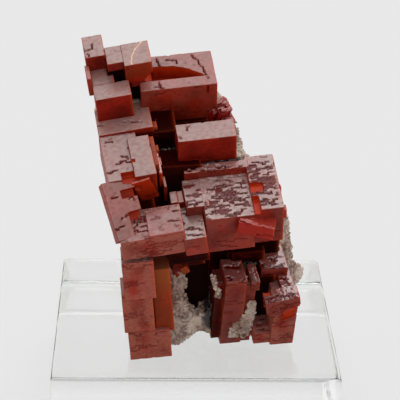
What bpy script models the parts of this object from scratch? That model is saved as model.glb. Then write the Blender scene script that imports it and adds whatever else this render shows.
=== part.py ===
"""A vanadinite specimen: blocky red crystals on a pale, sugary matrix, standing on a clear block.

Millimetres throughout, turned to metres when a mesh is made. The origin is the middle of the
block's underside, +Z is up, and the crystals face -Y. The crystals grew in a few families. Those
of one family are parallel, so each crystal is a box in its family's own axes: `left` runs along
the crystals' width, `front` goes back from their front faces and `top` goes up from their tops.
"""

import math

import bmesh
import bpy
from mathutils import Euler, Matrix, Vector, noise

MM = 0.001

# Driving sizes: the display block and the joints between separate pieces
BLOCK_SIDE = 38.0
BLOCK_HEIGHT = 12.7
BLOCK_EDGE = 0.35
JOINT_GAP = 0.32
SEAT_GAP = 0.35

# Each family of parallel crystals: where its first crystal's top front left corner is, measured
# from the middle of the block's top, then how far it leans forward, rises to the right and turns
FAMILIES = {
    "left_foot": ((-8.4, -14.7, 0.4), 6, 5, 3),
    "ledge": ((-9.9, -18.8, 19.1), 27, 9, 4),
    "fan": ((-9.9, -18.8, 19.1), 56, 8, 20),
    "plates": ((-11.4, -14.6, 25.8), 36, 8, 8),
    "upper": ((-12.7, -9.5, 30.0), 28, 9, 6),
    "top": ((-7.5, -7.2, 35.3), 27, 5, 6),
    "shoulder": ((-2.7, -11.9, 30.2), 27, 5, 6),
    "middle": ((0.9, -17.2, 21.7), 27, 5, 6),
    "right_foot": ((3.7, -13.8, 11.4), 20, 1, 10),
    "tilted": ((5.8, -17.6, 21.7), 24, -9, -6),
    "bits": ((2.9, -5.2, 31.6), 44, 12, 28),
    "cavity": ((-2.4, -9.4, 13.2), 12, 2, 8),
    "back_upper": ((-2.6, 4.6, 31.0), -24, 6, 186),
    "back_lower": ((8.4, 4.0, 15.5), -18, -7, 174),
}

# Each node's crystals: family, left, front, top, width, depth, height
GROUPS = {
    "crystals_front_ledge": [
        ("ledge", 0.0, 0.0, 0.0, 8.2, 5.0, 3.6),
        ("ledge", 3.7, 0.1, 0.4, 4.5, 4.2, 4.4),
        ("ledge", 8.0, -0.2, -1.2, 2.9, 5.4, 3.3),
        ("ledge", 5.5, 3.0, -1.7, 4.8, 3.4, 3.0),
        ("ledge", 7.2, 4.9, -1.3, 1.6, 2.2, 3.0),
    ],
    "crystals_left_plates": [
        ("fan", 0.1, 0.5, -0.05, 1.6, 7.2, 1.3),
        ("fan", -0.1, 6.5, 0.0, 3.2, 1.4, 1.4),
        ("fan", 0.5, 3.6, -0.1, 3.4, 1.8, 1.6),
        ("plates", 0.9, -3.4, -2.6, 4.6, 5.0, 4.0),
        ("plates", 0.0, 0.0, 0.0, 3.9, 6.7, 5.0),
        ("plates", 3.7, -0.3, 0.5, 2.6, 6.0, 8.0),
        ("plates", 2.8, -0.6, -0.4, 2.2, 3.0, 3.8),
        ("plates", 6.2, 1.2, 0.1, 0.8, 4.4, 6.3),
    ],
    "crystals_upper_left": [
        ("upper", 0.0, 0.1, 0.0, 6.9, 4.5, 3.2),
        ("upper", 0.3, 2.5, 4.1, 2.4, 5.2, 4.3),
        ("upper", 2.5, 2.5, 4.0, 2.4, 2.5, 4.2),
    ],
    "crystals_upper_tips": [
        ("upper", 0.1, 7.7, 6.5, 2.4, 3.7, 4.2),
        ("upper", 4.6, 5.0, 6.8, 3.6, 3.8, 3.2),
        ("upper", 2.3, 6.0, 6.6, 2.6, 2.8, 4.4),
        ("upper", 4.8, 5.6, 4.2, 3.0, 3.4, 4.6),
    ],
    "crystal_top_right": [
        ("top", 0.0, 0.0, 0.0, 9.8, 1.6, 6.2),
        ("top", 0.5, 2.4, -0.1, 9.3, 3.5, 6.0),
        ("top", 0.3, 0.5, -2.2, 9.4, 4.0, 4.1),
    ],
    "crystal_shoulder": [
        ("shoulder", 0.0, 0.0, 0.0, 7.5, 4.6, 4.5),
    ],
    "crystals_middle": [
        ("middle", 0.0, 0.0, 0.0, 6.2, 8.0, 6.6),
        ("middle", -2.3, 3.9, -0.1, 3.0, 4.0, 5.0),
        ("middle", -1.4, 7.4, 1.2, 9.0, 1.8, 6.0),
        ("middle", 5.9, -0.2, 1.1, 4.1, 9.2, 6.6),
    ],
    "crystal_tilted": [
        ("tilted", 0.0, 0.0, 0.0, 4.2, 1.8, 2.5),
    ],
    "crystals_middle_foot": [
        ("right_foot", 0.0, 0.0, 0.0, 2.8, 4.5, 11.6),
        ("right_foot", 2.6, -0.5, -0.05, 1.9, 3.6, 1.8),
        ("right_foot", 2.6, 0.2, -1.0, 1.2, 4.0, 10.4),
    ],
    "crystals_right_foot": [
        ("right_foot", 4.9, -2.9, -1.5, 4.5, 1.6, 2.8),
        ("right_foot", 7.6, -2.4, -1.6, 1.8, 5.6, 4.0),
        ("right_foot", 6.5, -1.9, -2.5, 3.2, 5.0, 8.2),
        ("right_foot", 4.3, -1.6, -8.6, 3.2, 4.0, 1.9),
    ],
    "crystal_right_knob": [
        ("right_foot", 5.3, 2.0, -0.2, 3.6, 5.1, 4.0),
    ],
    "crystals_left_foot": [
        ("left_foot", -0.2, 0.0, 4.4, 5.5, 4.6, 4.3),
        ("left_foot", -0.6, -0.5, 10.6, 4.0, 4.4, 5.9),
        ("left_foot", -0.2, -0.6, 15.3, 4.1, 4.4, 5.6),
        ("left_foot", 3.5, 0.6, 13.2, 2.4, 3.6, 9.4),
    ],
    "crystals_inner": [
        ("shoulder", -6.3, 3.4, -1.5, 6.6, 3.8, 9.0),
        ("shoulder", -4.7, 6.5, -3.6, 9.6, 3.6, 5.0),
        ("shoulder", -3.6, 3.6, -8.7, 10.5, 3.6, 6.0),
    ],
    "crystal_in_gap": [
        ("cavity", -2.8, 1.0, 13.6, 5.8, 4.0, 11.0),
    ],
    "crystal_in_cavity": [
        ("cavity", 0.0, 0.0, 0.0, 4.8, 3.6, 9.6),
    ],
    "crystals_under_middle": [
        ("right_foot", -1.2, 5.0, 3.3, 9.4, 2.6, 6.5),
        ("right_foot", 1.2, 4.6, 0.9, 3.2, 2.4, 4.0),
    ],
    "crystals_right_edge": [
        ("bits", 0.0, 0.0, 0.0, 1.9, 2.2, 3.0),
        ("bits", 0.5, -1.0, -1.6, 1.7, 2.6, 2.8),
        ("bits", -0.8, 0.5, -0.7, 1.6, 2.0, 2.4),
    ],
    "crystals_back_upper": [
        ("back_upper", 0.0, 0.0, 0.0, 4.2, 3.2, 3.6),
        ("back_upper", 2.9, 0.8, 1.1, 2.8, 3.0, 4.0),
    ],
    "crystals_back_lower": [
        ("back_lower", 0.0, 0.0, 0.0, 5.2, 3.6, 4.4),
        ("back_lower", -1.8, 0.9, -1.6, 3.0, 2.6, 3.8),
        ("back_lower", 3.6, -0.5, -2.2, 3.4, 3.4, 3.2),
    ],
}

# The matrix: at each height above the block's top, its middle (x, y) and half sizes (x, y). Each
# millimetre to the right of the middle it lies further back by MATRIX_SLANT, and BLUNTNESS keeps
# its ends broad. A lump is a height and a spacing
MATRIX_SECTIONS = [
    (-6.0, (1.9, -3.6), (10.0, 5.4)),
    (4.0, (2.2, -3.8), (10.9, 5.6)),
    (9.0, (2.8, -4.2), (11.6, 6.2)),
    (13.0, (2.3, -4.1), (11.4, 6.4)),
    (18.0, (0.5, -3.4), (10.2, 6.0)),
    (24.0, (-1.6, -2.6), (9.2, 5.2)),
    (30.0, (-3.9, -1.6), (8.0, 4.6)),
    (34.5, (-5.4, -0.4), (7.8, 3.4)),
    (36.4, (-6.3, 0.2), (7.2, 2.4)),
    (37.4, (-7.2, 0.5), (4.4, 1.2)),
]
MATRIX_SLANT = 0.18
BLUNTNESS = 2.4
MATRIX_LUMPS = ((1.1, 7.5), (0.8, 3.6))
MATRIX_SEED = 3.0
MATRIX_FINENESS = 4

# The matrix's hollows: middle and half sizes of the cavity and of the low arch in front of it
HOLLOWS = {
    "cavity": ((0.3, -9.6, 8.9), (2.3, 4.4, 4.7)),
    "arch": ((0.9, -6.5, -0.4), (3.0, 9.0, 2.8)),
}
HOLLOW_LUMPS = ((0.4, 2.4),)
HOLLOW_SEED = 8.0
HOLLOW_FINENESS = 3


class Crystal:
    """One box crystal: its half sizes, middle and turn, ready to be made at any clearance."""

    def __init__(self, family, left, front, top, width, depth, height):
        corner, lean, rise, turn = FAMILIES[family]
        self.turn = Euler((math.radians(lean), -math.radians(rise), math.radians(turn))).to_matrix()
        middle = Vector((left + width / 2, front + depth / 2, top - height / 2))
        self.place = Vector(corner) + Vector((0, 0, BLOCK_HEIGHT)) + self.turn @ middle
        self.size = Vector((width, depth, height))

    def matrix(self, clearance):
        grown = Matrix.Diagonal(self.size + Vector((2, 2, 2)) * clearance).to_4x4()
        turned = Matrix.Translation(self.place) @ self.turn.to_4x4() @ grown
        return Matrix.Scale(MM, 4) @ turned


def new_collection(name):
    found = bpy.data.collections.new(name)
    bpy.context.scene.collection.children.link(found)
    return found


def material(name, colour, roughness, alpha=1.0):
    made = bpy.data.materials.new(name)
    made.use_nodes = True
    shader = made.node_tree.nodes["Principled BSDF"]
    shader.inputs["Base Color"].default_value = (*colour, 1)
    shader.inputs["Roughness"].default_value = roughness
    shader.inputs["Metallic"].default_value = 0.0
    shader.inputs["Alpha"].default_value = alpha
    return made


def box_object(name, crystal, collection, clearance=0.0):
    shape = bmesh.new()
    bmesh.ops.create_cube(shape, size=1.0, matrix=crystal.matrix(clearance))
    mesh = bpy.data.meshes.new(name)
    shape.to_mesh(mesh)
    shape.free()
    made = bpy.data.objects.new(name, mesh)
    collection.objects.link(made)
    return made


def helper(made):
    made.hide_render = True
    made.display_type = "WIRE"
    return made


def boolean(target, name, operation, collection):
    cut = target.modifiers.new(name, "BOOLEAN")
    cut.operation = operation
    cut.operand_type = "COLLECTION"
    cut.collection = collection
    cut.solver = "EXACT"


def crystal_group(name, rows, finish, rooms):
    """Joins a group's crystals into one solid, then cuts it back from the groups made before it."""
    crystals = [Crystal(*row) for row in rows]
    body = box_object(name, crystals[0], PARTS)
    body.data.materials.append(finish)
    if len(crystals) > 1:
        joined = new_collection(name + "_joined")
        for number, crystal in enumerate(crystals[1:], 2):
            helper(box_object(f"{name}_{number}", crystal, joined))
        boolean(body, "Join", "UNION", joined)
    if rooms.objects:
        taken = new_collection(name + "_taken")
        for room in rooms.objects:
            taken.objects.link(room)
        boolean(body, "Clearance", "DIFFERENCE", taken)
    for number, crystal in enumerate(crystals, 1):
        helper(box_object(f"{name}_room_{number}", crystal, rooms, JOINT_GAP))
    return body


def display_block(finish):
    """The clear block with its flame-polished, slightly rounded edges."""
    shape = bmesh.new()
    bmesh.ops.create_cube(shape, size=1.0)
    size = Matrix.Diagonal((BLOCK_SIDE, BLOCK_SIDE, BLOCK_HEIGHT, 1))
    raised = Matrix.Translation((0, 0, BLOCK_HEIGHT / 2))
    bmesh.ops.transform(shape, matrix=Matrix.Scale(MM, 4) @ raised @ size, verts=shape.verts)
    mesh = bpy.data.meshes.new("display_block")
    shape.to_mesh(mesh)
    shape.free()
    made = bpy.data.objects.new("display_block", mesh)
    made.data.materials.append(finish)
    PARTS.objects.link(made)
    bevel = made.modifiers.new("Polished edges", "BEVEL")
    bevel.width = BLOCK_EDGE * MM
    bevel.segments = 2
    return made


def lumpy(shape, lumps, seed):
    """Moves each vertex along its normal by smooth noise."""
    shape.normal_update()
    places = []
    for vertex in shape.verts:
        height = sum(
            size * noise.noise(vertex.co / spacing + Vector((seed, 0, 0))) for size, spacing in lumps
        )
        places.append(vertex.co + vertex.normal * height)
    for vertex, place in zip(shape.verts, places):
        vertex.co = place


def section_at(height):
    """The matrix's middle and half sizes at a height, straight between the sections given."""
    for (low, middle, half), (high, middle_up, half_up) in zip(MATRIX_SECTIONS, MATRIX_SECTIONS[1:]):
        if height <= high:
            share = (height - low) / (high - low)
            return Vector(middle).lerp(middle_up, share), Vector(half).lerp(half_up, share)
    return Vector(MATRIX_SECTIONS[-1][1]), Vector(MATRIX_SECTIONS[-1][2])


def matrix_rock(finish, rooms):
    """A ball stretched to the matrix's sections and roughened, cut flat and then hollowed out."""
    bottom, top = MATRIX_SECTIONS[0][0], MATRIX_SECTIONS[-1][0]
    shape = bmesh.new()
    bmesh.ops.create_icosphere(shape, subdivisions=MATRIX_FINENESS, radius=1.0)
    for vertex in shape.verts:
        around = math.hypot(vertex.co.x, vertex.co.y)
        reach = min(1.0, around * BLUNTNESS) / around if around else 0.0
        out = Vector((vertex.co.x, vertex.co.y)) * reach
        rise = 0.5 + math.asin(max(-1, min(1, vertex.co.z))) / math.pi
        height = bottom + (top - bottom) * rise
        middle, half = section_at(height)
        slant = MATRIX_SLANT * half.x * out.x
        vertex.co = (middle.x + half.x * out.x, middle.y + half.y * out.y + slant, height)
    lumpy(shape, MATRIX_LUMPS, MATRIX_SEED)
    everything = shape.verts[:] + shape.edges[:] + shape.faces[:]
    seat = {"plane_co": (0, 0, SEAT_GAP), "plane_no": (0, 0, -1)}
    cut = bmesh.ops.bisect_plane(shape, geom=everything, clear_outer=True, **seat)
    rim = [part for part in cut["geom_cut"] if isinstance(part, bmesh.types.BMEdge)]
    bmesh.ops.contextual_create(shape, geom=rim)
    raised = Matrix.Scale(MM, 4) @ Matrix.Translation((0, 0, BLOCK_HEIGHT))
    bmesh.ops.transform(shape, matrix=raised, verts=shape.verts)
    mesh = bpy.data.meshes.new("matrix")
    shape.to_mesh(mesh)
    shape.free()
    made = bpy.data.objects.new("matrix", mesh)
    made.data.materials.append(finish)
    PARTS.objects.link(made)
    hollows = new_collection("matrix_hollows")
    for name, (middle, half) in HOLLOWS.items():
        hollows.objects.link(helper(hollow(name, middle, half)))
    for room in rooms.objects:
        hollows.objects.link(room)
    boolean(made, "Hollows", "DIFFERENCE", hollows)
    return made


def hollow(name, middle, half):
    """A roughened ball that hollows the matrix."""
    shape = bmesh.new()
    bmesh.ops.create_icosphere(shape, subdivisions=HOLLOW_FINENESS, radius=1.0)
    stretched = Matrix.Translation(Vector(middle) + Vector((0, 0, BLOCK_HEIGHT)))
    stretched = stretched @ Matrix.Diagonal(Vector(half)).to_4x4()
    bmesh.ops.transform(shape, matrix=stretched, verts=shape.verts)
    lumpy(shape, HOLLOW_LUMPS, HOLLOW_SEED)
    bmesh.ops.transform(shape, matrix=Matrix.Scale(MM, 4), verts=shape.verts)
    mesh = bpy.data.meshes.new(name)
    shape.to_mesh(mesh)
    shape.free()
    return bpy.data.objects.new(name, mesh)


for old in list(bpy.data.objects):
    bpy.data.objects.remove(old)

PARTS = new_collection("vanadinite_on_matrix")
ROOMS = new_collection("clearances")

acrylic = material("Clear cast acrylic", (0.92, 0.94, 0.94), 0.05, alpha=0.35)
vanadinite = material("Vanadinite", (0.28, 0.035, 0.02), 0.25)
barite = material("Sugary barite matrix", (0.52, 0.44, 0.38), 0.75)

display_block(acrylic)
for group, rows in GROUPS.items():
    crystal_group(group, rows, vanadinite, ROOMS)
matrix_rock(barite, ROOMS)
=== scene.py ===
# %% [markdown]
# # Vanadinite on matrix
# A mineral specimen: blocks of red-brown vanadinite step down a lump of pale, sugary matrix,
# which stands on a clear acrylic block. Each cell makes one thing, and says first what it is on
# the real specimen and why it is made in this way. Lengths are in millimetres until a mesh is
# made, because a specimen of 41 mm is easier to think about in them.

# %% Load the measured model
import itertools
import math

import bpy
import numpy as np
from mathutils import Euler, Matrix, Vector


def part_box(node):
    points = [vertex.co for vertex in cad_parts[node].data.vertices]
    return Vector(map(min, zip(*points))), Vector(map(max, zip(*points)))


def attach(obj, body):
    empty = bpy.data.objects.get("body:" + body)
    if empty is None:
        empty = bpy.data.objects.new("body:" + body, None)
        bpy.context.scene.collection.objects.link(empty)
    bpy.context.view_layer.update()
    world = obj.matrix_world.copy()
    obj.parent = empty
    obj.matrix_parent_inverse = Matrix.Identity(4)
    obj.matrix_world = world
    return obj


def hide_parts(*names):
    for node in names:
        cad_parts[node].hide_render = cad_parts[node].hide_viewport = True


MM = 0.001
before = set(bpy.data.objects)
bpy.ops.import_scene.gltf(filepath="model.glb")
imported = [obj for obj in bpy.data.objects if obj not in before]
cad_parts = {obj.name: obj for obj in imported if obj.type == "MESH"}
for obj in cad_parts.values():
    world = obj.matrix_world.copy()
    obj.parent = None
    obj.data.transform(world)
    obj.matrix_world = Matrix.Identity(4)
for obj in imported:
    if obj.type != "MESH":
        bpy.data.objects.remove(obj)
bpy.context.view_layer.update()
block_low, block_high = (np.array(corner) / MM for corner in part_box("display_block"))
BLOCK_TOP = block_high[2]

# %% [markdown]
# ## Camera
# The photograph looks down at the block's top by 22.5 degrees. Its place was worked out from the
# four corners of that top, a known square, so nothing here is a guess but the lens, whose long
# focal length shows in how little the block narrows towards its back.

# %% Camera at the photograph's angle
CAMERA_PLACE = (-6.44, -222.3, 109.64 + BLOCK_TOP)
CAMERA_DOWN = math.radians(22.54)
CAMERA_TURN = math.radians(1.81)
CAMERA_ROLL = math.radians(1.135)
FOCAL_PIXELS = 1770
PHOTO_PIXELS = 400
SENSOR_MM = 36.0

lens = bpy.data.cameras.new("camera")
lens.sensor_width = SENSOR_MM
lens.lens = FOCAL_PIXELS / PHOTO_PIXELS * SENSOR_MM
lens.clip_start, lens.clip_end = 0.01, 20.0
camera = bpy.data.objects.new("camera", lens)
bpy.context.scene.collection.objects.link(camera)
ahead = Vector((
    math.sin(CAMERA_TURN) * math.cos(CAMERA_DOWN),
    math.cos(CAMERA_TURN) * math.cos(CAMERA_DOWN),
    -math.sin(CAMERA_DOWN),
))
level = Vector((math.cos(CAMERA_TURN), -math.sin(CAMERA_TURN), 0))
rolled = Matrix.Rotation(-CAMERA_ROLL, 3, ahead)
right, up = rolled @ level, rolled @ level.cross(ahead)
turned = Matrix((right, up, -ahead)).transposed().to_4x4()
camera.matrix_world = Matrix.Translation(Vector(CAMERA_PLACE) * MM) @ turned
bpy.context.scene.camera = camera
print(f"camera: a {lens.lens:.0f} mm lens, looking {math.degrees(CAMERA_DOWN):.1f} degrees down")

# %% [markdown]
# ## Small helpers
# Colours are written as the hex values that an eye or a screen knows, and one function turns them
# into the linear values that light adds up in. A material is a tree of nodes, and one more
# function adds a node with its settings and its links in a single line.

# %% Colours and nodes
# A MapRange node's inputs: the range that it reads, and the one that it gives
ENDS = ("From Min", "From Max", "To Min", "To Max")


def linear(code):
    """A '#rrggbb' colour as linear red, green, blue and 1: each share is undone from sRGB's curve."""
    shares = [int(code[i : i + 2], 16) / 255 for i in (1, 3, 5)]
    return (*(s / 12.92 if s <= 0.04045 else ((s + 0.055) / 1.055) ** 2.4 for s in shares), 1.0)


def add(tree, kind, inputs=(), **settings):
    """Adds a node. A setting is an attribute, and an input is a value or another node's socket."""
    node = tree.nodes.new("ShaderNode" + kind)
    for name, value in settings.items():
        setattr(node, name, value)
    for name, value in dict(inputs).items():
        if isinstance(value, bpy.types.NodeSocket):
            tree.links.new(value, node.inputs[name])
        else:
            node.inputs[name].default_value = value
    return node


def new_material(name, inputs):
    """A material, its tree and its Principled shader, with plain inputs and joined to the output."""
    made = bpy.data.materials.new(name)
    made.use_nodes = True
    made.node_tree.nodes.clear()
    shader = add(made.node_tree, "BsdfPrincipled", inputs)
    add(made.node_tree, "OutputMaterial", {"Surface": shader.outputs[0]})
    return made, made.node_tree, shader


def per_metre(size):
    """A texture's scale for features of this many millimetres."""
    return 1 / (size * MM)


# %% [markdown]
# ## Noise worked out with numpy
# Natural relief needs smooth randomness that is the same in each run. Gradient noise gives it: a
# grid of random slopes fills space, and a point blends the eight slopes around it. All points are
# worked out at once, as arrays.

# %% Gradient noise and cells
SLOPE_COUNT = 4096
SLOPES = np.random.default_rng(7).normal(size=(SLOPE_COUNT, 3))
SLOPES /= np.linalg.norm(SLOPES, axis=1, keepdims=True)
HASH = np.array([73856093, 19349663, 83492791])
SEED_STEP = 2654435
NOISE_REACH = 1.7
CELL_WANDER = 0.38
FAR = 9.0


def lattice_hash(corners, seed):
    """A slope's number for each whole-number corner: its coordinates times primes, then mixed."""
    mixed = (corners * HASH).sum(-1) + seed * SEED_STEP
    return (mixed ^ (mixed >> 13)) & (SLOPE_COUNT - 1)


def noise(points, seed=0):
    """Smooth values from about -1 to 1: the eight corners' slopes, blended by a quintic curve."""
    base = np.floor(points).astype(np.int64)
    part = points - base
    fade = part**3 * (part * (part * 6 - 15) + 10)
    total = np.zeros(len(points))
    for corner in itertools.product((0, 1), repeat=3):
        slope = SLOPES[lattice_hash(base + corner, seed)]
        share = np.where(corner, fade, 1 - fade).prod(1)
        total += share * (slope * (part - corner)).sum(1)
    return total * NOISE_REACH


def cells(points, seed=0):
    """Distances to the nearest and second nearest of one random point in each unit cube."""
    base = np.floor(points).astype(np.int64)
    nearest = np.full((2, len(points)), FAR)
    for step in itertools.product((-1, 0, 1), repeat=3):
        centre = base + step + 0.5 + CELL_WANDER * SLOPES[lattice_hash(base + step, seed)]
        away = np.linalg.norm(points - centre, axis=1)
        nearest[1] = np.minimum(nearest[1], np.maximum(away, nearest[0]))
        nearest[0] = np.minimum(nearest[0], away)
    return nearest


def ramp(values, low, high):
    """0 below low, 1 above high, and a smooth rise between."""
    share = np.clip((values - low) / (high - low), 0, 1)
    return share * share * (3 - 2 * share)


# %% [markdown]
# ## Meshes from arrays
# A box crystal is six grids that share their borders. Each point of the boxes' whole-number
# lattice that lies on its surface is kept once, so the mesh is closed.

# %% Meshes from arrays
def new_object(name, points, faces, attributes=(), finish=None):
    """An object from points in millimetres and faces as rows of point numbers."""
    mesh = bpy.data.meshes.new(name)
    mesh.vertices.add(len(points))
    mesh.vertices.foreach_set("co", (np.asarray(points) * MM).astype(np.float32).ravel())
    mesh.loops.add(faces.size)
    mesh.loops.foreach_set("vertex_index", faces.ravel().astype(np.int32))
    mesh.polygons.add(len(faces))
    starts = np.arange(0, faces.size, faces.shape[1], dtype=np.int32)
    mesh.polygons.foreach_set("loop_start", starts)
    mesh.update(calc_edges=True)
    for label, values in dict(attributes).items():
        layer = mesh.attributes.new(label, "FLOAT", "POINT")
        layer.data.foreach_set("value", np.asarray(values, np.float32))
    if finish:
        mesh.materials.append(finish)
    made = bpy.data.objects.new(name, mesh)
    bpy.context.scene.collection.objects.link(made)
    return made


def grid_lines(length, spacing, finer):
    """Places along an edge from 0 to length: about evenly spaced, with two close ones at each end."""
    inner = max(1, round((length - 2 * finer) / spacing))
    middle = np.linspace(finer, length - finer, inner + 1)
    return np.concatenate(([0, finer / 2], middle, [length - finer / 2, length]))


def box_surface(size, spacing, finer):
    """A box's surface, corner at 0: points, and four-sided faces that look outwards."""
    lines = [grid_lines(length, spacing, finer) for length in size]
    counts = np.array([len(line) for line in lines])
    rows = []
    for axis in range(3):
        first, second = (axis + 1) % 3, (axis + 2) % 3
        i, j = np.meshgrid(np.arange(counts[first] - 1), np.arange(counts[second] - 1), indexing="ij")
        for side in (0, counts[axis] - 1):
            quad = np.zeros((i.size, 4, 3), np.int64)
            quad[..., axis] = side
            quad[..., first] = i.reshape(-1, 1) + [0, 1, 1, 0]
            quad[..., second] = j.reshape(-1, 1) + [0, 0, 1, 1]
            rows.append(quad if side else quad[:, ::-1])
    keys = np.concatenate(rows) @ np.array([counts[1] * counts[2], counts[2], 1])
    unique, faces = np.unique(keys, return_inverse=True)
    steps = np.stack(np.unravel_index(unique, counts), axis=1)
    points = np.stack([line[steps[:, k]] for k, line in enumerate(lines)], axis=1)
    return points, faces.reshape(-1, 4)


def combined(name, first, others, operation):
    """A new object: first joined with the others, or cut by them, as one closed mesh."""
    if not others:
        return first
    group = bpy.data.collections.new(name + "_operands")
    for other in others:
        group.objects.link(other)
    step = first.modifiers.new(operation.title(), "BOOLEAN")
    step.operation, step.solver, step.operand_type = operation, "MANIFOLD", "COLLECTION"
    step.collection = group
    graph = bpy.context.evaluated_depsgraph_get()
    mesh = bpy.data.meshes.new_from_object(first.evaluated_get(graph))
    made = bpy.data.objects.new(name, mesh)
    bpy.context.scene.collection.objects.link(made)
    for old in (first, *others):
        bpy.data.objects.remove(old)
    bpy.data.collections.remove(group)
    return made


# %% [markdown]
# ## The crystal families
# Crystals of one family grew parallel, so they share a corner to measure from and three turns: a
# lean towards the viewer, a rise to the right, and a turn about the vertical. `left`, `front` and
# `top` then place a crystal in its family's own axes, as the solids of the measured model do.

# %% Families of parallel crystals
# A family's corner in millimetres from the middle of the block's top, and its turns in degrees
FAMILIES = {
    "world": ((0.0, 0.0, 0.0), 0, 0, 0),
    "left_foot": ((-8.4, -14.7, 0.4), 6, 5, 3),
    "ledge": ((-9.9, -18.8, 19.1), 27, 9, 4),
    "fan": ((-9.9, -18.8, 19.1), 56, 8, 20),
    "plates": ((-11.4, -14.6, 25.8), 36, 8, 8),
    "upper": ((-12.7, -9.5, 30.0), 28, 9, 6),
    "top": ((-7.5, -7.2, 35.3), 27, 5, 6),
    "shoulder": ((-2.7, -11.9, 30.2), 27, 5, 6),
    "middle": ((0.9, -17.2, 21.7), 27, 5, 6),
    "right_foot": ((3.7, -13.8, 11.4), 20, 1, 10),
    "tilted": ((5.8, -17.6, 21.7), 24, -9, -6),
    "bits": ((2.9, -5.2, 31.6), 44, 12, 28),
    "cavity": ((-2.4, -9.4, 13.2), 12, 2, 8),
    "back_upper": ((-2.6, 4.6, 31.0), -24, 6, 186),
    "back_lower": ((8.4, 4.0, 15.5), -18, -7, 174),
}

# Each habit of growth and wear, and for the dark habit of painted shade, in seven shares: grooves on
# the top, cracks in the sides, pits, tone from -1, a painted black-red shade, to 1, tan, gloss, dusty
# rose on the sides, and dull film with painted sheen on the top
HABITS = {
    "satin": (0.0, 0.05, 0.15, 0.0, 0.0, 0.05, 1.0),
    "speckled": (0.08, 0.1, 0.6, 0.0, 0.0, 0.1, 1.0),
    "rosy": (0.12, 0.15, 0.5, 0.0, 0.1, 0.25, 0.6),
    "etched": (1.0, 0.15, 0.4, 0.0, 0.15, 0.3, 1.0),
    "eaten": (1.3, 0.3, 0.4, 0.0, 0.3, 0.2, 0.75),
    "scored": (0.5, 0.9, 0.5, 0.0, 0.1, 0.8, 0.6),
    "glassy": (1.25, 1.1, 0.4, -0.25, 0.8, 0.45, 0.6),
    "wine": (0.3, 0.5, 0.4, -0.45, 0.4, 0.1, 0.3),
    "gem": (0.35, 0.6, 0.5, -0.08, 1.0, 0.0, 0.15),
    "bright": (0.0, 0.1, 0.1, 0.0, 1.0, 0.0, 0.4),
    # painted shade: black-red for crystals that sit in the shade between and behind the others
    "dark": (0.0, 0.1, 0.1, -0.95, 0.2, 0.0, 0.0),
    "brown": (0.0, 0.1, 0.3, -0.3, 0.3, 0.0, 0.0),
    "tan": (0.0, 0.05, 0.1, 1.0, 0.0, 0.0, 0.2),
    "orange": (0.0, 0.1, 0.2, 0.6, 0.3, 0.0, 0.1),
    "olive": (0.05, 0.3, 0.15, 0.32, 0.0, 0.0, 1.0),
    "cut": (0.0, 0.0, 0.1, 0.0, 1.0, 0.0, 0.0),
    "shards": (1.25, 1.1, 0.4, -0.1, 1.0, 0.0, 0.25),
}

# The least share of a thin edge's painted orange glow, for the habits that glow all over
GLOW = {"rosy": 0.06, "cut": 0.42, "bright": 0.35, "gem": 0.06}

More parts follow.
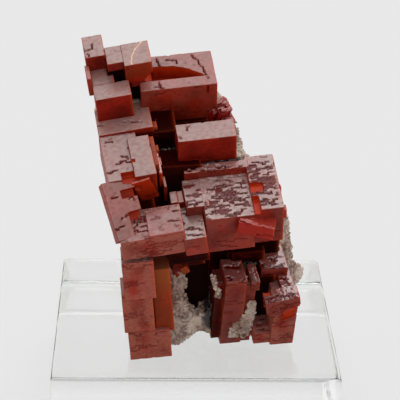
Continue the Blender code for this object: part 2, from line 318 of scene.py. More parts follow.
# Each piece's crystals: family, left, front, top, width, depth, height, habit, and for some a roll
CRYSTALS = {
    "crystals_front_ledge": [
        ("ledge", 0.0, 0.0, 0.0, 8.2, 5.0, 3.6, "scored"),
        ("ledge", 3.7, 0.1, 0.35, 4.5, 4.2, 4.3, "scored"),
        ("ledge", 8.0, -0.2, -1.2, 2.9, 5.4, 3.3, "etched"),
        ("ledge", 5.5, 3.0, -1.7, 4.8, 3.4, 3.0, "etched"),
        ("ledge", 7.15, 5.2, 0.0, 0.95, 1.9, 3.4, "satin"),
        ("ledge", 8.0, 5.2, -0.12, 0.85, 1.9, 3.2, "satin"),
    ],
    "crystals_left_plates": [
        ("fan", -0.15, 0.3, 0.0, 4.1, 7.7, 1.8, "rosy"),
        # painted shade: a dark crystal down in the shade under the plates
        ("plates", 0.9, -3.4, -4.9, 4.6, 5.0, 2.4, "dark"),
        ("plates", -0.15, -0.1, 0.0, 4.7, 7.1, 5.0, "speckled"),
        ("plates", 3.3, -0.3, 0.5, 2.8, 6.0, 8.0, "satin"),
        ("plates", 2.75, -0.65, -0.5, 2.4, 1.5, 4.9, "bright", 14),
        ("plates", 6.0, 1.2, 0.1, 0.7, 4.4, 6.3, "orange"),
        ("plates", 6.5, 0.4, -0.8, 0.45, 3.4, 5.0, "bright"),
        ("plates", 6.3, 3.6, -0.4, 0.8, 0.9, 4.6, "orange"),
        ("plates", 6.8, 2.0, -1.5, 0.4, 1.3, 4.0, "satin"),
        ("plates", 6.9, -0.6, -2.6, 0.4, 1.6, 3.6, "satin"),
    ],
    "crystals_upper_left": [
        ("upper", -0.1, 0.1, 0.0, 7.05, 4.5, 3.2, "speckled"),
        ("upper", 0.2, 2.52, 4.07, 2.9, 5.3, 4.3, "satin"),
        ("upper", 0.18, 2.5, 4.1, 4.72, 2.6, 4.2, "satin"),
        ("upper", 6.8, 0.3, -0.5, 0.7, 1.1, 1.4, "orange"),
        ("upper", 7.0, 1.3, -1.0, 0.6, 0.9, 1.2, "bright"),
    ],
    "crystals_upper_tips": [
        ("upper", -0.1, 7.7, 6.6, 2.6, 3.8, 4.2, "speckled"),
        ("upper", 4.6, 5.0, 6.8, 3.55, 3.85, 3.3, "olive"),
        ("upper", 2.5, 5.8, 6.77, 3.0, 3.02, 1.4, "speckled"),
        # painted shade: two dark crystals in the shade among the tips
        ("upper", 2.3, 6.4, 6.0, 2.6, 2.4, 3.8, "dark"),
        ("upper", 4.8, 5.6, 4.2, 3.0, 3.2, 4.6, "dark"),
        ("upper", 5.2, 5.3, 3.9, 2.9, 2.4, 1.6, "satin"),
        ("upper", -0.38, 5.3, 5.2, 0.6, 2.5, 3.2, "rosy"),
    ],
    "crystal_top_right": [
        ("top", 0.0, 0.0, 0.0, 9.95, 1.7, 9.4, "rosy"),
        ("top", 1.9, 1.5, -0.05, 8.05, 4.6, 6.1, "rosy"),
        ("top", 0.3, 0.5, -2.2, 9.4, 4.0, 5.4, "satin"),
    ],
    "crystal_shoulder": [
        ("shoulder", 0.0, 0.0, 0.0, 7.55, 3.0, 4.5, "satin"),
    ],
    "crystals_middle": [
        ("middle", 0.0, 0.0, 0.0, 6.35, 7.2, 6.6, "etched"),
        ("middle", -2.2, 2.4, -0.02, 3.0, 4.6, 5.0, "etched"),
        ("middle", -1.8, 7.1, 1.2, 8.3, 1.3, 6.0, "eaten"),
        ("middle", 6.2, -0.2, 1.1, 3.75, 9.1, 6.6, "eaten"),
        ("middle", 9.5, -0.1, 0.3, 0.8, 1.0, 1.6, "gem"),
        ("middle", 9.6, 3.4, 0.6, 0.6, 0.8, 1.2, "orange"),
    ],
    "crystal_tilted": [
        ("tilted", -0.8, 0.0, -0.3, 4.65, 2.2, 2.2, "gem"),
    ],
    "crystals_middle_foot": [
        ("right_foot", 0.1, 0.0, 0.0, 2.85, 4.4, 11.7, "glassy"),
        ("right_foot", 3.45, -0.3, -0.05, 1.15, 3.5, 1.6, "glassy"),
        ("right_foot", 2.6, 0.25, -1.0, 1.7, 4.0, 10.7, "glassy"),
        ("right_foot", -0.95, 1.0, -1.3, 1.3, 3.0, 10.2, "wine"),
    ],
    "crystals_right_foot": [
        ("right_foot", 4.9, -2.9, -1.6, 4.6, 2.4, 2.7, "glassy", 9.6),
        ("right_foot", 7.6, -2.4, -1.6, 1.8, 5.6, 4.0, "glassy"),
        ("right_foot", 6.5, -1.9, -2.5, 3.2, 5.0, 8.2, "scored"),
        ("right_foot", 4.3, -1.6, -8.6, 3.2, 4.0, 1.9, "scored"),
    ],
    "crystal_right_knob": [
        ("right_foot", 5.3, 2.0, -0.2, 3.6, 5.1, 4.0, "glassy"),
    ],
    "crystals_left_foot": [
        ("left_foot", -0.2, 0.0, 4.4, 5.5, 4.6, 4.3, "scored"),
        ("left_foot", -0.6, -0.5, 10.6, 4.0, 4.4, 5.9, "scored"),
        ("left_foot", -0.2, -0.6, 15.3, 4.1, 4.4, 5.6, "scored"),
        ("left_foot", 3.5, 0.6, 13.2, 2.4, 3.6, 9.4, "tan"),
    ],
    # The next four pieces are dark crystals in the shade behind and between the others: painted shade
    "crystals_inner": [
        ("shoulder", -6.3, 3.4, -1.5, 6.6, 3.8, 9.0, "dark"),
        ("shoulder", -4.7, 6.5, -3.6, 9.6, 3.6, 5.0, "dark"),
        ("shoulder", -3.6, 3.6, -8.7, 10.5, 3.6, 6.0, "dark"),
    ],
    "crystal_in_gap": [
        ("cavity", -2.8, 1.0, 13.6, 5.8, 4.0, 11.0, "dark"),
    ],
    "crystal_in_cavity": [
        ("cavity", 0.0, 0.0, 0.0, 4.8, 3.6, 9.6, "dark"),
    ],
    "crystals_under_middle": [
        ("right_foot", -1.2, 5.0, 3.3, 9.4, 2.6, 6.5, "dark"),
        ("right_foot", 1.2, 4.6, 0.9, 3.2, 2.4, 4.0, "dark"),
        ("right_foot", 2.8, 1.8, -1.2, 4.4, 3.2, 10.0, "dark"),
    ],
    "crystals_right_edge": [
        ("bits", 0.0, 0.0, 0.0, 1.9, 2.2, 3.0, "shards"),
        ("bits", 0.5, -1.0, -1.6, 1.7, 2.6, 2.8, "shards"),
        ("bits", -0.8, 0.5, -0.7, 1.6, 2.0, 2.4, "shards"),
    ],
    "crystals_back_upper": [
        ("back_upper", 0.0, 0.0, 0.0, 4.2, 3.2, 3.6, "speckled"),
        ("back_upper", 2.9, 0.8, 1.1, 2.8, 3.0, 4.0, "satin"),
    ],
    "crystals_back_lower": [
        ("back_lower", 0.0, 0.0, 0.0, 5.2, 3.6, 4.4, "etched"),
        ("back_lower", -1.8, 0.9, -1.6, 3.0, 2.6, 3.8, "satin"),
        ("back_lower", 3.6, -0.5, -2.2, 3.4, 3.4, 3.2, "speckled"),
    ],
}

# Boxes that are cut out of a piece again, in the same terms: notches, chips and bevels
CUTS = {
    "crystals_left_plates": [
        ("fan", 1.9, 5.42, 0.4, 3.0, 1.15, 1.7, "cut"),
        ("fan", 2.15, -0.6, 0.4, 3.0, 4.2, 1.7, "cut"),
        ("plates", 1.6, -0.4, 0.4, 2.3, 1.35, 1.3, "cut"),
        ("plates", 3.1, 1.9, 0.9, 0.6, 0.5, 0.7, "cut"),
    ],
    "crystals_upper_tips": [("upper", 6.7, 4.5, 3.35, 3.0, 5.0, 2.0, "cut", 50)],
    "crystal_top_right": [("top", 8.55, -0.4, -0.1, 0.3, 0.9, 1.5, "cut")],
    "crystals_middle": [
        ("middle", 5.9, 2.9, 1.6, 2.0, 1.6, 1.1, "cut"),
        ("middle", 5.9, -0.5, 1.6, 1.1, 2.7, 1.3, "cut"),
    ],
    "crystals_right_foot": [
        ("right_foot", 5.85, -3.6, -4.25, 5.0, 1.6, 2.0, "cut", 28),
        ("right_foot", 4.8, -3.6, -2.95, 3.0, 2.6, 2.0, "cut", -50),
        ("right_foot", 4.5, -1.5, -1.0, 1.5, 1.6, 0.9, "cut"),
    ],
}

# Single grooves that the photograph shows, as corners (left, front) of a line on a piece's tops
DRAWN = {
    "crystals_upper_tips": [
        [(-0.3, 8.9), (0.3, 9.0), (1.0, 9.2), (1.1, 10.1)],
        [(0.2, 8.6), (0.5, 8.0)],
    ],
    "crystal_top_right": [
        [(7.3, 5.9), (7.5, 5.1), (8.0, 4.7), (8.2, 3.5), (8.5, 3.3), (8.6, 2.2), (8.9, 1.2)],
        [(2.7, 5.8), (2.8, 5.0), (3.0, 4.1)],
        [(2.5, 1.6), (2.5, 1.0), (2.7, 0.6)],
        [(4.0, 5.2), (5.2, 5.0), (5.3, 4.4)],
    ],
    "crystal_shoulder": [
        [(1.1, 2.8), (1.5, 2.4), (1.9, 2.7)],
        [(1.5, 2.4), (1.4, 1.9)],
        [(0.3, 0.9), (0.5, 0.6)],
    ],
    "crystals_left_plates": [[(0.6, 5.9), (1.4, 5.8)], [(2.2, 3.4), (2.9, 3.3), (2.9, 2.9)]],
}
# The pale seam across the chipped crystal's top, in the same way
CREAM_SEAM = [(7.5, 8.9), (6.9, 8.2), (6.5, 7.8), (6.0, 7.0), (5.7, 6.2), (5.5, 4.9)]


def family_axes(family):
    """A family's corner in millimetres and its three turns as a 3 by 3 array."""
    corner, lean, rise, turn = FAMILIES[family]
    turned = Euler((math.radians(lean), -math.radians(rise), math.radians(turn))).to_matrix()
    return np.array(corner) + (0, 0, BLOCK_TOP), np.array(turned)


print(f"{sum(map(len, CRYSTALS.values()))} crystals in {len(CRYSTALS)} pieces")


# %% [markdown]
# ## Vanadinite
# Vanadinite is a lead vanadate. It has an adamantine to resinous lustre and is translucent, so
# thin edges glow orange and deep ones go nearly black-red; here that orange is a painted glow and
# that black-red a painted shade, both laid into the colour. Its tops are etched: what is left of
# the old face has a dull mauve film that mirrors the light above, and its mauve is partly a painted
# sheen for that light, while the grooves and the sides keep the stone's own red. The real index,
# 2.4, is brought down to 2.0, because an etched face mirrors less. The relief is real geometry, and
# five attributes say where everything is: the etch, the rim's painted glow, the tone, which is a
# painted shade below 0 and tan above it, the gloss, and the film with its painted sheen, which is 1
# on an etched top, 2 on the pale seam and negative on a dusty side.

# %% Vanadinite material
VANADINITE_IOR = 2.0
DEEP_RED, BRICK_RED, ETCHED_RED = "#600e05", "#921b0b", "#6c0d05"
# The orange is a painted glow on thin edges, for light that shines through them
PAINTED_GLOW_ORANGE, TAN, BLACK_RED = "#c8430c", "#86401c", "#180202"
RUBY, CREAM_VEIN, GROOVE_RED = "#94160a", "#cfae82", "#5c0a05"
# The mauve of the tops is a dull film together with a painted sheen, the light above that they mirror
MAUVE_FILM_AND_SHEEN, DUSTY_ROSE = "#907069", "#955446"
BROAD_TONE_MM = 3.5
GRAIN_MM = 0.2
# The grain is longer across the specimen than up it
GRAIN_STRETCH = (0.45, 0.6, 1.3)
GRAIN_HEIGHT_MM = 0.045
PLAIN_SPECULAR = 0.2


def vanadinite_material():
    """Colours laid over each other by the noise and the attributes, then gloss from the same ones."""
    made, tree, shader = new_material("Vanadinite, etched faces", {
        "IOR": VANADINITE_IOR,
        "Specular IOR Level": PLAIN_SPECULAR,
        "Subsurface Weight": 0.1,
        "Subsurface Radius": (1.0, 0.18, 0.06),
        "Subsurface Scale": 0.9 * MM,
    })
    place = add(tree, "TexCoord").outputs["Object"]
    drawn = add(tree, "Mapping", {"Vector": place, "Scale": GRAIN_STRETCH}).outputs[0]
    broad = add(tree, "TexNoise", {"Vector": place, "Scale": per_metre(BROAD_TONE_MM), "Detail": 3.0})
    grain = add(tree, "TexNoise", {"Vector": drawn, "Scale": per_metre(GRAIN_MM), "Detail": 4.0})
    marks = {
        label: add(tree, "Attribute", attribute_name=label).outputs["Fac"]
        for label in ("etch", "rim", "tone", "gloss", "film_and_sheen")
    }
    # What a layer follows, the range it is read over, the layer's share at each end, and its colour.
    # A Mix node's colours are its inputs 6 and 7, and the mixed colour is its output 2.
    layers = (
        (broad.outputs["Fac"], 0.38, 0.62, 0.0, 1.0, BRICK_RED),
        (grain.outputs["Fac"], 0.4, 0.62, 0.0, 0.7, ETCHED_RED),
        (marks["gloss"], 0.8, 1.0, 0.0, 1.0, RUBY),
        (marks["film_and_sheen"], -1.0, 0.0, 0.9, 0.0, DUSTY_ROSE),
        (marks["tone"], 0.0, 1.0, 0.0, 1.0, TAN),
        # painted sheen: mauve on the tops, partly a dull film
        (marks["film_and_sheen"], 0.0, 1.0, 0.0, 0.82, MAUVE_FILM_AND_SHEEN),
        # painted shade: black-red where the tone is below 0
        (marks["tone"], -1.0, 0.0, 1.0, 0.0, BLACK_RED),
        # painted glow: orange on thin and right-hand edges
        (marks["rim"], 0.0, 1.0, 0.0, 0.8, PAINTED_GLOW_ORANGE),
        (marks["film_and_sheen"], 1.2, 2.0, 0.0, 1.0, CREAM_VEIN),
        (marks["etch"], 0.0, 1.0, 0.0, 1.0, GROOVE_RED),
    )
    body = linear(DEEP_RED)
    for source, *ends, colour in layers:
        share = add(tree, "MapRange", {"Value": source, **dict(zip(ENDS, ends))}).outputs[0]
        body = add(tree, "Mix", {0: share, 6: body, 7: linear(colour)}, data_type="RGBA").outputs[2]
    tree.links.new(body, shader.inputs["Base Color"])

    # What the gloss follows, in the same terms
    shares = {}
    for label, source, *ends in (
        ("satin", grain.outputs["Fac"], 0.3, 0.7, 0.3, 0.46),
        ("smooth", marks["gloss"], 0.0, 1.0, 1.0, 0.45),
        ("shine", marks["film_and_sheen"], 0.05, 0.5, 0.02, 0.6),
        ("filmed", marks["film_and_sheen"], 0.0, 1.0, 0.025, 0.38),
        ("whole", marks["etch"], 0.0, 1.0, 1.0, 0.3),
        ("lit", marks["tone"], -1.0, 0.0, 0.25, 1.0),
    ):
        shares[label] = add(tree, "MapRange", {"Value": source, **dict(zip(ENDS, ends))}).outputs[0]
    rough = add(tree, "Math", {0: shares["satin"], 1: shares["smooth"]}, operation="MULTIPLY")
    tree.links.new(rough.outputs[0], shader.inputs["Roughness"])
    shine = add(tree, "Math", {0: shares["shine"], 1: marks["gloss"]}, operation="MULTIPLY")
    mirror = add(tree, "Math", {0: shares["filmed"], 1: shine.outputs[0]}, operation="ADD")
    for label in ("whole", "lit"):
        mirror = add(tree, "Math", {0: mirror.outputs[0], 1: shares[label]}, operation="MULTIPLY")
    tree.links.new(mirror.outputs[0], shader.inputs["Specular IOR Level"])
    fine = {"Height": grain.outputs["Fac"], "Strength": 0.5, "Distance": GRAIN_HEIGHT_MM * MM}
    tree.links.new(add(tree, "Bump", fine).outputs[0], shader.inputs["Normal"])
    return made


VANADINITE = vanadinite_material()

# %% [markdown]
# ## Relief on a crystal
# A box's edge is rounded by pulling each point in to a smaller box and out again by the rounding,
# so a worn edge is a larger rounding there. Solution eats a crystal along its own axes. So each
# groove is a walk: long steps along one axis, short ones across, always at right angles. A point
# sinks where it is near such a walk. The tops have many of them and the sides only a few.

# %% Relief on a crystal
GRID_MM = {"fine": 0.1, "plain": 0.15}
FINE_FROM = 0.3
EDGE_MM, NICK_MM = 0.08, 0.22
GROOVE_DEPTH, GROOVE_WIDTH = 0.24, 0.13
GROOVE_WANDER = 0.07
CRACK_SHARE = 0.5
PIT_DEPTH = 0.14
POOL_DEPTH = 0.2
SHARD_HEIGHT = 0.03
GROWTH_STEP, GROWTH_STEPS = 0.012, 2.5
RIM_REACH = 0.14
LONG_STEP, SHORT_STEP = (0.3, 1.3), (0.12, 0.4)
GROOVES_PER_MM2, CRACKS_PER_MM2 = 0.55, 0.4
# From the first to the second of these places, in y, the tone fades out, so a dark crystal's painted
# shade turns to its plain red
SHADE_FADE_Y = (-1.0, 1.0)


def stepped(points, cell):
    """The points moved to the middle of their cells, softened by a third of the way back."""
    snapped = (np.floor(points / cell) + 0.5) * cell
    return snapped + (points - snapped) * 0.3


def walks(low, high, density, seed):
    """Broken lines on a face, as pairs of ends: long steps along its first axis, short across."""
    random = np.random.default_rng(seed)
    lines = []
    for _ in range(random.poisson(density * np.prod(high - low))):
        place = random.uniform(low, high)
        heading = random.choice((-1, 1))
        for turn in range(random.integers(3, 9)):
            if turn % 2:
                step = np.array((0, random.uniform(*SHORT_STEP) * random.choice((-1, 1))))
            else:
                step = np.array((random.uniform(*LONG_STEP) * heading, 0))
            lines.append((place, place + step))
            place = place + step
    return lines


def distance_to(places, lines):
    """Each place's distance to the nearest of the lines."""
    nearest = np.full(len(places), FAR)
    for start, end in lines:
        along = end - start
        share = np.clip((places - start) @ along / (along @ along), 0, 1)
        away = places - start - share[:, None] * along
        nearest = np.minimum(nearest, np.hypot(away[:, 0], away[:, 1]))
    return nearest


def groove_distance(places, outward, low, high, densities, drawn, seed):
    """The distance to the nearest walk on each place's own face."""
    bent = places + GROOVE_WANDER * np.stack([noise(places / 0.3, seed + k) for k in range(3)], 1)
    apart = np.full(len(places), FAR)
    for axis, plane in enumerate(([1, 2], [0, 2], [0, 1])):
        for side in (-1, 1):
            here = outward[:, axis] * side > 0.6
            lines = walks(low[plane], high[plane], densities[axis], seed + 31 * axis + side)
            if axis == 2:
                corners = [[np.array(corner) for corner in line] for line in drawn]
                lines += [pair for line in corners for pair in zip(line, line[1:])]
            apart[here] = distance_to(bent[here][:, plane], lines)
    return apart


def relief(places, outward, low, high, habit, drawn, seed):
    """Height along the face, the groove share, and the share of broken, sparkling ground."""
    etch, crack, pit = HABITS[habit][:3]
    top_share = ramp(outward[:, 2], 0.55, 0.85)
    side_density = crack * CRACKS_PER_MM2
    densities = (side_density, side_density, etch * GROOVES_PER_MM2)
    apart = groove_distance(places, outward, low, high, densities, drawn, seed + 1)
    width = GROOVE_WIDTH * (1 + 0.5 * noise(places / 0.7, seed + 5))
    calm = ramp(np.minimum(high[0] - places[:, 0], high[1] - places[:, 1]), 0.2, 0.7)
    open_share = np.where(top_share > 0.5, 0.25 + 0.75 * calm, CRACK_SHARE)
    grooves = ramp(-apart, -width, -width * 0.4) * open_share
    eaten = noise(stepped(places, 0.3) / (1.5, 0.8, 1.5), seed + 6)
    pools = ramp(eaten, 0.64 - 0.33 * etch, 0.72 - 0.33 * etch) * top_share * calm * ramp(etch, 0.1, 0.9)
    broken = ramp(noise(places / 2.4, seed + 7), -0.15, 0.15) * top_share * etch
    shards = noise(stepped(places, 0.2) / 0.4, seed + 8) * SHARD_HEIGHT * broken
    holes = ramp(noise(stepped(places, 0.25) / 0.55, seed + 9), 0.7 - 0.2 * pit, 0.8 - 0.2 * pit) * pit
    growth = np.round(noise(stepped(places, 0.45) / 2.6, seed + 10) * GROWTH_STEPS) * GROWTH_STEP
    sunk = np.maximum(grooves * GROOVE_DEPTH, pools * POOL_DEPTH)
    height = growth + shards - sunk - holes * PIT_DEPTH
    return height, np.clip(np.maximum(grooves, pools) + 0.7 * holes, 0, 1), broken


def crystal_points(row, seed, drawn=()):
    """One crystal's points, faces and attributes: a box pulled in, then out by rounding and relief."""
    family, left, front, top, width, depth, height, habit, *roll = row
    etch, _, _, tone, gloss, dust, film_and_sheen = HABITS[habit]
    size = np.array([width, depth, height])
    low = np.array([left, front, top - height])
    places, faces = box_surface(size, GRID_MM["fine" if etch > FINE_FROM else "plain"], EDGE_MM)
    half = size / 2
    local = places - half
    family_places = low + places
    worn = noise(family_places / 1.7, seed + 11)
    nick = ramp(noise(family_places / 0.8, seed + 12), 0.42, 0.75)
    radius = np.minimum(EDGE_MM * (1.15 + 0.5 * worn) + NICK_MM * nick, half.min() * 0.8)[:, None]
    core = np.clip(local, radius - half, half - radius)
    outward = local - core
    outward /= np.linalg.norm(outward, axis=1, keepdims=True)
    edge_distance = np.sort(half - np.abs(local), axis=1)[:, 1]
    raised, etched, broken = relief(family_places, outward, low, low + size, habit, drawn, seed)
    raised *= ramp(edge_distance, -0.02, 0.12) * 0.9 + 0.1
    local = core + outward * (radius + raised[:, None])
    corner, axes = family_axes(family)
    points = low + half + local
    if roll:
        hinge = np.array([left, 0, top])
        points = hinge + (points - hinge) @ np.array(Matrix.Rotation(-math.radians(roll[0]), 3, "Y")).T
    top_share = ramp(outward[:, 2], 0.5, 0.9)
    # painted glow: orange along the right edges, and a little along every edge
    right_edge_glow = np.exp(-(half[0] - local[:, 0]) / RIM_REACH) * (0.7 + 0.5 * worn)
    any_edge_glow = np.exp(-edge_distance / RIM_REACH) * 0.1
    tarnish = 0.9 + 0.3 * noise(family_places / (0.6, 0.4, 0.6), seed + 13)
    patchy = noise(family_places / (2.6, 2.6, 3.6), seed + 14) + 0.5 * ramp(edge_distance, 0.2, 1.4)
    streaks = noise(family_places / (0.5, 0.5, 0.25), seed + 15)
    side_film = dust * (0.7 * ramp(patchy, 0.0, 0.8) - 1.05 + 0.4 * streaks)
    # painted shade: the sides darken towards their foot, where shade falls
    shade_toward_foot = ramp(half[2] - local[:, 2], 0.8, 5.0) * (1 - top_share)
    rim = np.clip(np.where(outward[:, 0] > 0.8, 0.2, right_edge_glow) + any_edge_glow, GLOW.get(habit, 0), 1)
    world_points = points @ axes.T + corner
    # The tone holds at the front and fades out towards the back, so the dark crystals' painted shade is
    # only at the front
    front_share = 1 - ramp(world_points[:, 1], *SHADE_FADE_Y)
    marks = {
        "etch": etched,
        "rim": rim * (1 - etched),
        # painted shade in the tone: the dark habits' black-red, and the darkening towards the foot
        "tone": tone * front_share - max(0.0, 0.6 - 2 * dust) * shade_toward_foot,
        "gloss": np.clip(gloss + 0.15 * broken, 0, 1),
        # painted sheen: the film share rises on the tops, and the dusty rose comes on the sides
        "film_and_sheen": film_and_sheen * top_share * tarnish + side_film * (1 - top_share),
    }
    return world_points, faces, marks


# %% [markdown]
# ## Grow the crystals
# Each group is joined into one closed skin, as the real crystals are one intergrowth. The
# manifold solver does that in a moment even on fine meshes, and it carries the attributes over.
# Notches, chips and the wedge-shaped recess of the upper right crystal are cut out afterwards, so
# their walls are fresh, glossy and red.

# %% Grow the crystals
def finished(piece, nodes=(), sharp=38):
    """Shades a piece, lets it ride on the model and stand for the solids that it replaces."""
    piece.data.shade_smooth()
    piece.data.set_sharp_from_angle(angle=math.radians(sharp))
    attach(piece, "root")
    if nodes:
        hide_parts(*nodes)
    piece.data.calc_loop_triangles()
    print(f"{piece.name}: {len(piece.data.loop_triangles)} triangles")
    return piece


WEDGE_LEFT, WEDGE_RIGHT, WEDGE_FRONT = 1.5, 8.5, 1.66
WEDGE_WIDTH, WEDGE_DEPTH = 2.45, 2.3
SEAM_HALF_WIDTH, SEAM_WARMTH = 0.07, 0.16


def wedge_cut(seed):
    """The recess in the upper right crystal: wide at its left end, closed at its right, with painted
    glow at the lip and painted shade deeper in.
    """
    size = np.array([WEDGE_RIGHT - WEDGE_LEFT, 1.0, WEDGE_DEPTH + 0.5])
    places, faces = box_surface(size, GRID_MM["plain"], EDGE_MM)
    narrowing = 1 - ((places[:, 0] / size[0]) ** 3)
    wander = 0.12 * noise(places / (0.9, 9, 1.4), seed)
    places[:, 1] = WEDGE_FRONT + places[:, 1] * (0.06 + WEDGE_WIDTH * narrowing + wander)
    lip_glow = np.exp(-np.abs(places[:, 2] - WEDGE_DEPTH) / 0.5)
    shade_deep = ramp(WEDGE_DEPTH - places[:, 2], 0.4, 2.2)
    places += (WEDGE_LEFT, 0, -WEDGE_DEPTH)
    corner, axes = family_axes("top")
    zero = np.zeros(len(places))
    marks = {"etch": zero, "gloss": zero + 1.0, "film_and_sheen": zero}
    marks["rim"], marks["tone"] = 0.4 + 0.55 * lip_glow, -0.25 * shade_deep
    return new_object("wedge", places @ axes.T + corner, faces, marks, VANADINITE)


def draw_seam(points, marks):
    """Marks the pale seam on a top of the upper family, with a warm line on each side of it."""
    corner, axes = family_axes("upper")
    places = ((points - corner) @ axes)[:, :2]
    seam = [np.array(place) for place in CREAM_SEAM]
    apart = distance_to(places, list(zip(seam, seam[1:])))
    on_top = marks["film_and_sheen"] > 0.5
    marks["film_and_sheen"] = np.where(on_top & (apart < SEAM_HALF_WIDTH), 2.0, marks["film_and_sheen"])
    beside = on_top & (apart >= SEAM_HALF_WIDTH) & (apart < SEAM_WARMTH)
    marks["rim"] = np.where(beside, 0.3, marks["rim"])


def grow(name, rows, seed):
    """A piece from its rows: its crystals joined in one skin, and its notches cut out of that."""
    parts = []
    for number, row in enumerate(rows):
        points, faces, marks = crystal_points(row, seed, DRAWN.get(name, ()))
        if name == "crystals_upper_tips":
            draw_seam(points, marks)
        parts.append(new_object(f"{name}.{number}", points, faces, marks, VANADINITE))
    parts[0].name = name + ".first"
    joined = combined(name, parts[0], parts[1:], "UNION")
    cutters = [
        new_object(f"{name}.cut{number}", *crystal_points(row, seed + 5), VANADINITE)
        for number, row in enumerate(CUTS.get(name, ()))
    ]
    if name == "crystal_top_right":
        cutters.append(wedge_cut(seed))
    joined = combined(name, joined, cutters, "DIFFERENCE")
    joined.name = name
    return joined


for number, (name, rows) in enumerate(CRYSTALS.items()):
    finished(grow(name, rows, seed=20 * number), [name])

# %% [markdown]
# ## The sugary matrix
# The matrix is a crust of fine, pale grains, taken for barite, that grew round the crystals. So it
# starts from the measured solid, whose hollows already fit them: a voxel remesh gives that an even
# skin of small faces, and swelling it closes the gaps that the solids keep. The grains are then
# relief, because light that catches hundreds of small facets is what makes a stone look sugary.

# %% Barite material
PALE_GREY, CREAM, STAIN = "#c6b1a2", "#a08170", "#5a2d1f"
# Red-black painted shade for the rock between the crystals and in the cavity
PAINTED_SHADE_DARK = "#1d0a07"
BARITE_IOR = 1.64
PATCH_MM, STAIN_MM, SPECK_MM = 4.0, 2.2, 0.35
SPECK_HEIGHT_MM = 0.08


def barite_material():
    """Two pale tones in patches, brown stain that gathers in the crevices, and red-black painted shade
    between the crystals.
    """
    made, tree, shader = new_material("Barite, sugary grains", {
        "IOR": BARITE_IOR,
        "Subsurface Weight": 0.3,
        "Subsurface Radius": (1.0, 0.9, 0.8),
        "Subsurface Scale": 0.6 * MM,
    })
    place = add(tree, "TexCoord").outputs["Object"]
    patches = add(tree, "TexNoise", {"Vector": place, "Scale": per_metre(PATCH_MM), "Detail": 3.0})
    speck = add(tree, "TexNoise", {"Vector": place, "Scale": per_metre(SPECK_MM), "Detail": 3.0})
    crevice = add(tree, "Attribute", attribute_name="crevice").outputs["Fac"]
    stain = add(tree, "TexNoise", {"Vector": place, "Scale": per_metre(STAIN_MM), "Detail": 4.0})
    # painted shade: the stain attribute is 1 where the rock lies in shade between the crystals
    dust = add(tree, "Attribute", attribute_name="stain").outputs["Fac"]
    pale = add(tree, "ValToRGB", {"Fac": patches.outputs["Fac"]})
    for element, position, colour in zip(pale.color_ramp.elements, (0.38, 0.62), (CREAM, PALE_GREY)):
        element.position, element.color = position, linear(colour)
    sunk = add(tree, "Math", {0: crevice, 1: 0.22}, operation="MULTIPLY").outputs[0]
    stained = add(tree, "Math", {0: stain.outputs["Fac"], 1: sunk}, operation="ADD").outputs[0]
    ends = {"From Min": 0.52, "From Max": 0.78, "To Max": 0.85}
    dirt = add(tree, "MapRange", {"Value": stained, **ends}).outputs[0]
    body = pale.outputs["Color"]
    # the brown stain, then the red-black painted shade over it
    for share, colour in ((dirt, STAIN), (dust, PAINTED_SHADE_DARK)):
        body = add(tree, "Mix", {0: share, 6: body, 7: linear(colour)}, data_type="RGBA").outputs[2]
    tree.links.new(body, shader.inputs["Base Color"])
    rough = add(tree, "MapRange", {"Value": speck.outputs["Fac"], "To Min": 0.3, "To Max": 0.7})
    tree.links.new(rough.outputs[0], shader.inputs["Roughness"])
    fine = {"Height": speck.outputs["Fac"], "Strength": 0.5, "Distance": SPECK_HEIGHT_MM * MM}
    tree.links.new(add(tree, "Bump", fine).outputs[0], shader.inputs["Normal"])
    return made


BARITE = barite_material()

# %% The matrix
VOXEL_MM = 0.2
SWELL_MM = 0.3
MATRIX_GRAIN_MM = 0.55
LUMP_MM, LUMP_HEIGHT_MM = 1.9, 0.28
# How much higher a point looks from the camera for each millimetre that it lies further back
SIGHT_SLOPE = 0.41
RIGHT_PULL = 0.92


def skin_of(node, voxel):
    """An evenly meshed copy of a measured solid: points in millimetres, normals and faces."""
    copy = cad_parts[node].copy()
    copy.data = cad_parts[node].data.copy()
    copy.parent = None
    bpy.context.scene.collection.objects.link(copy)
    weld = copy.modifiers.new("Weld", "WELD")
    weld.merge_threshold = 0.001 * MM
    remesh = copy.modifiers.new("Remesh", "REMESH")
    remesh.mode, remesh.voxel_size = "VOXEL", voxel * MM
    graph = bpy.context.evaluated_depsgraph_get()
    mesh = bpy.data.meshes.new_from_object(copy.evaluated_get(graph))
    points = np.zeros(len(mesh.vertices) * 3, np.float32)
    normals = np.zeros(len(mesh.vertices) * 3, np.float32)
    faces = np.zeros(len(mesh.polygons) * 4, np.int32)
    mesh.vertices.foreach_get("co", points)
    mesh.vertex_normals.foreach_get("vector", normals)
    mesh.polygons.foreach_get("vertices", faces)
    bpy.data.objects.remove(copy)
    return points.reshape(-1, 3) / MM, normals.reshape(-1, 3), faces.reshape(-1, 4)


# Where the photograph's outline of the matrix ends at the right: height over the block, and x
MATRIX_RIGHT = {
    0: 14.4, 3.3: 14.8, 6.4: 15.2, 8.2: 14.5, 9.5: 12.9,
    14.6: 12.4, 19.7: 11.2, 25.4: 6.0, 28.5: 5.2, 33.3: 2.8,
}
# Hollows that are cut out of the crust: in a family's axes, left, front, top, width, depth, height
HOLLOWS = [
    ("world", -1.5, -20.0, 14.6, 5.5, 11.8, 8.4),
    ("shoulder", -2.5, 3.1, 4.5, 10.3, 4.6, 10.9),
    ("right_foot", 2.9, -3.0, 1.5, 2.0, 5.2, 6.5),
    ("middle", -2.5, 8.3, 4.6, 11.0, 1.8, 4.2),
]
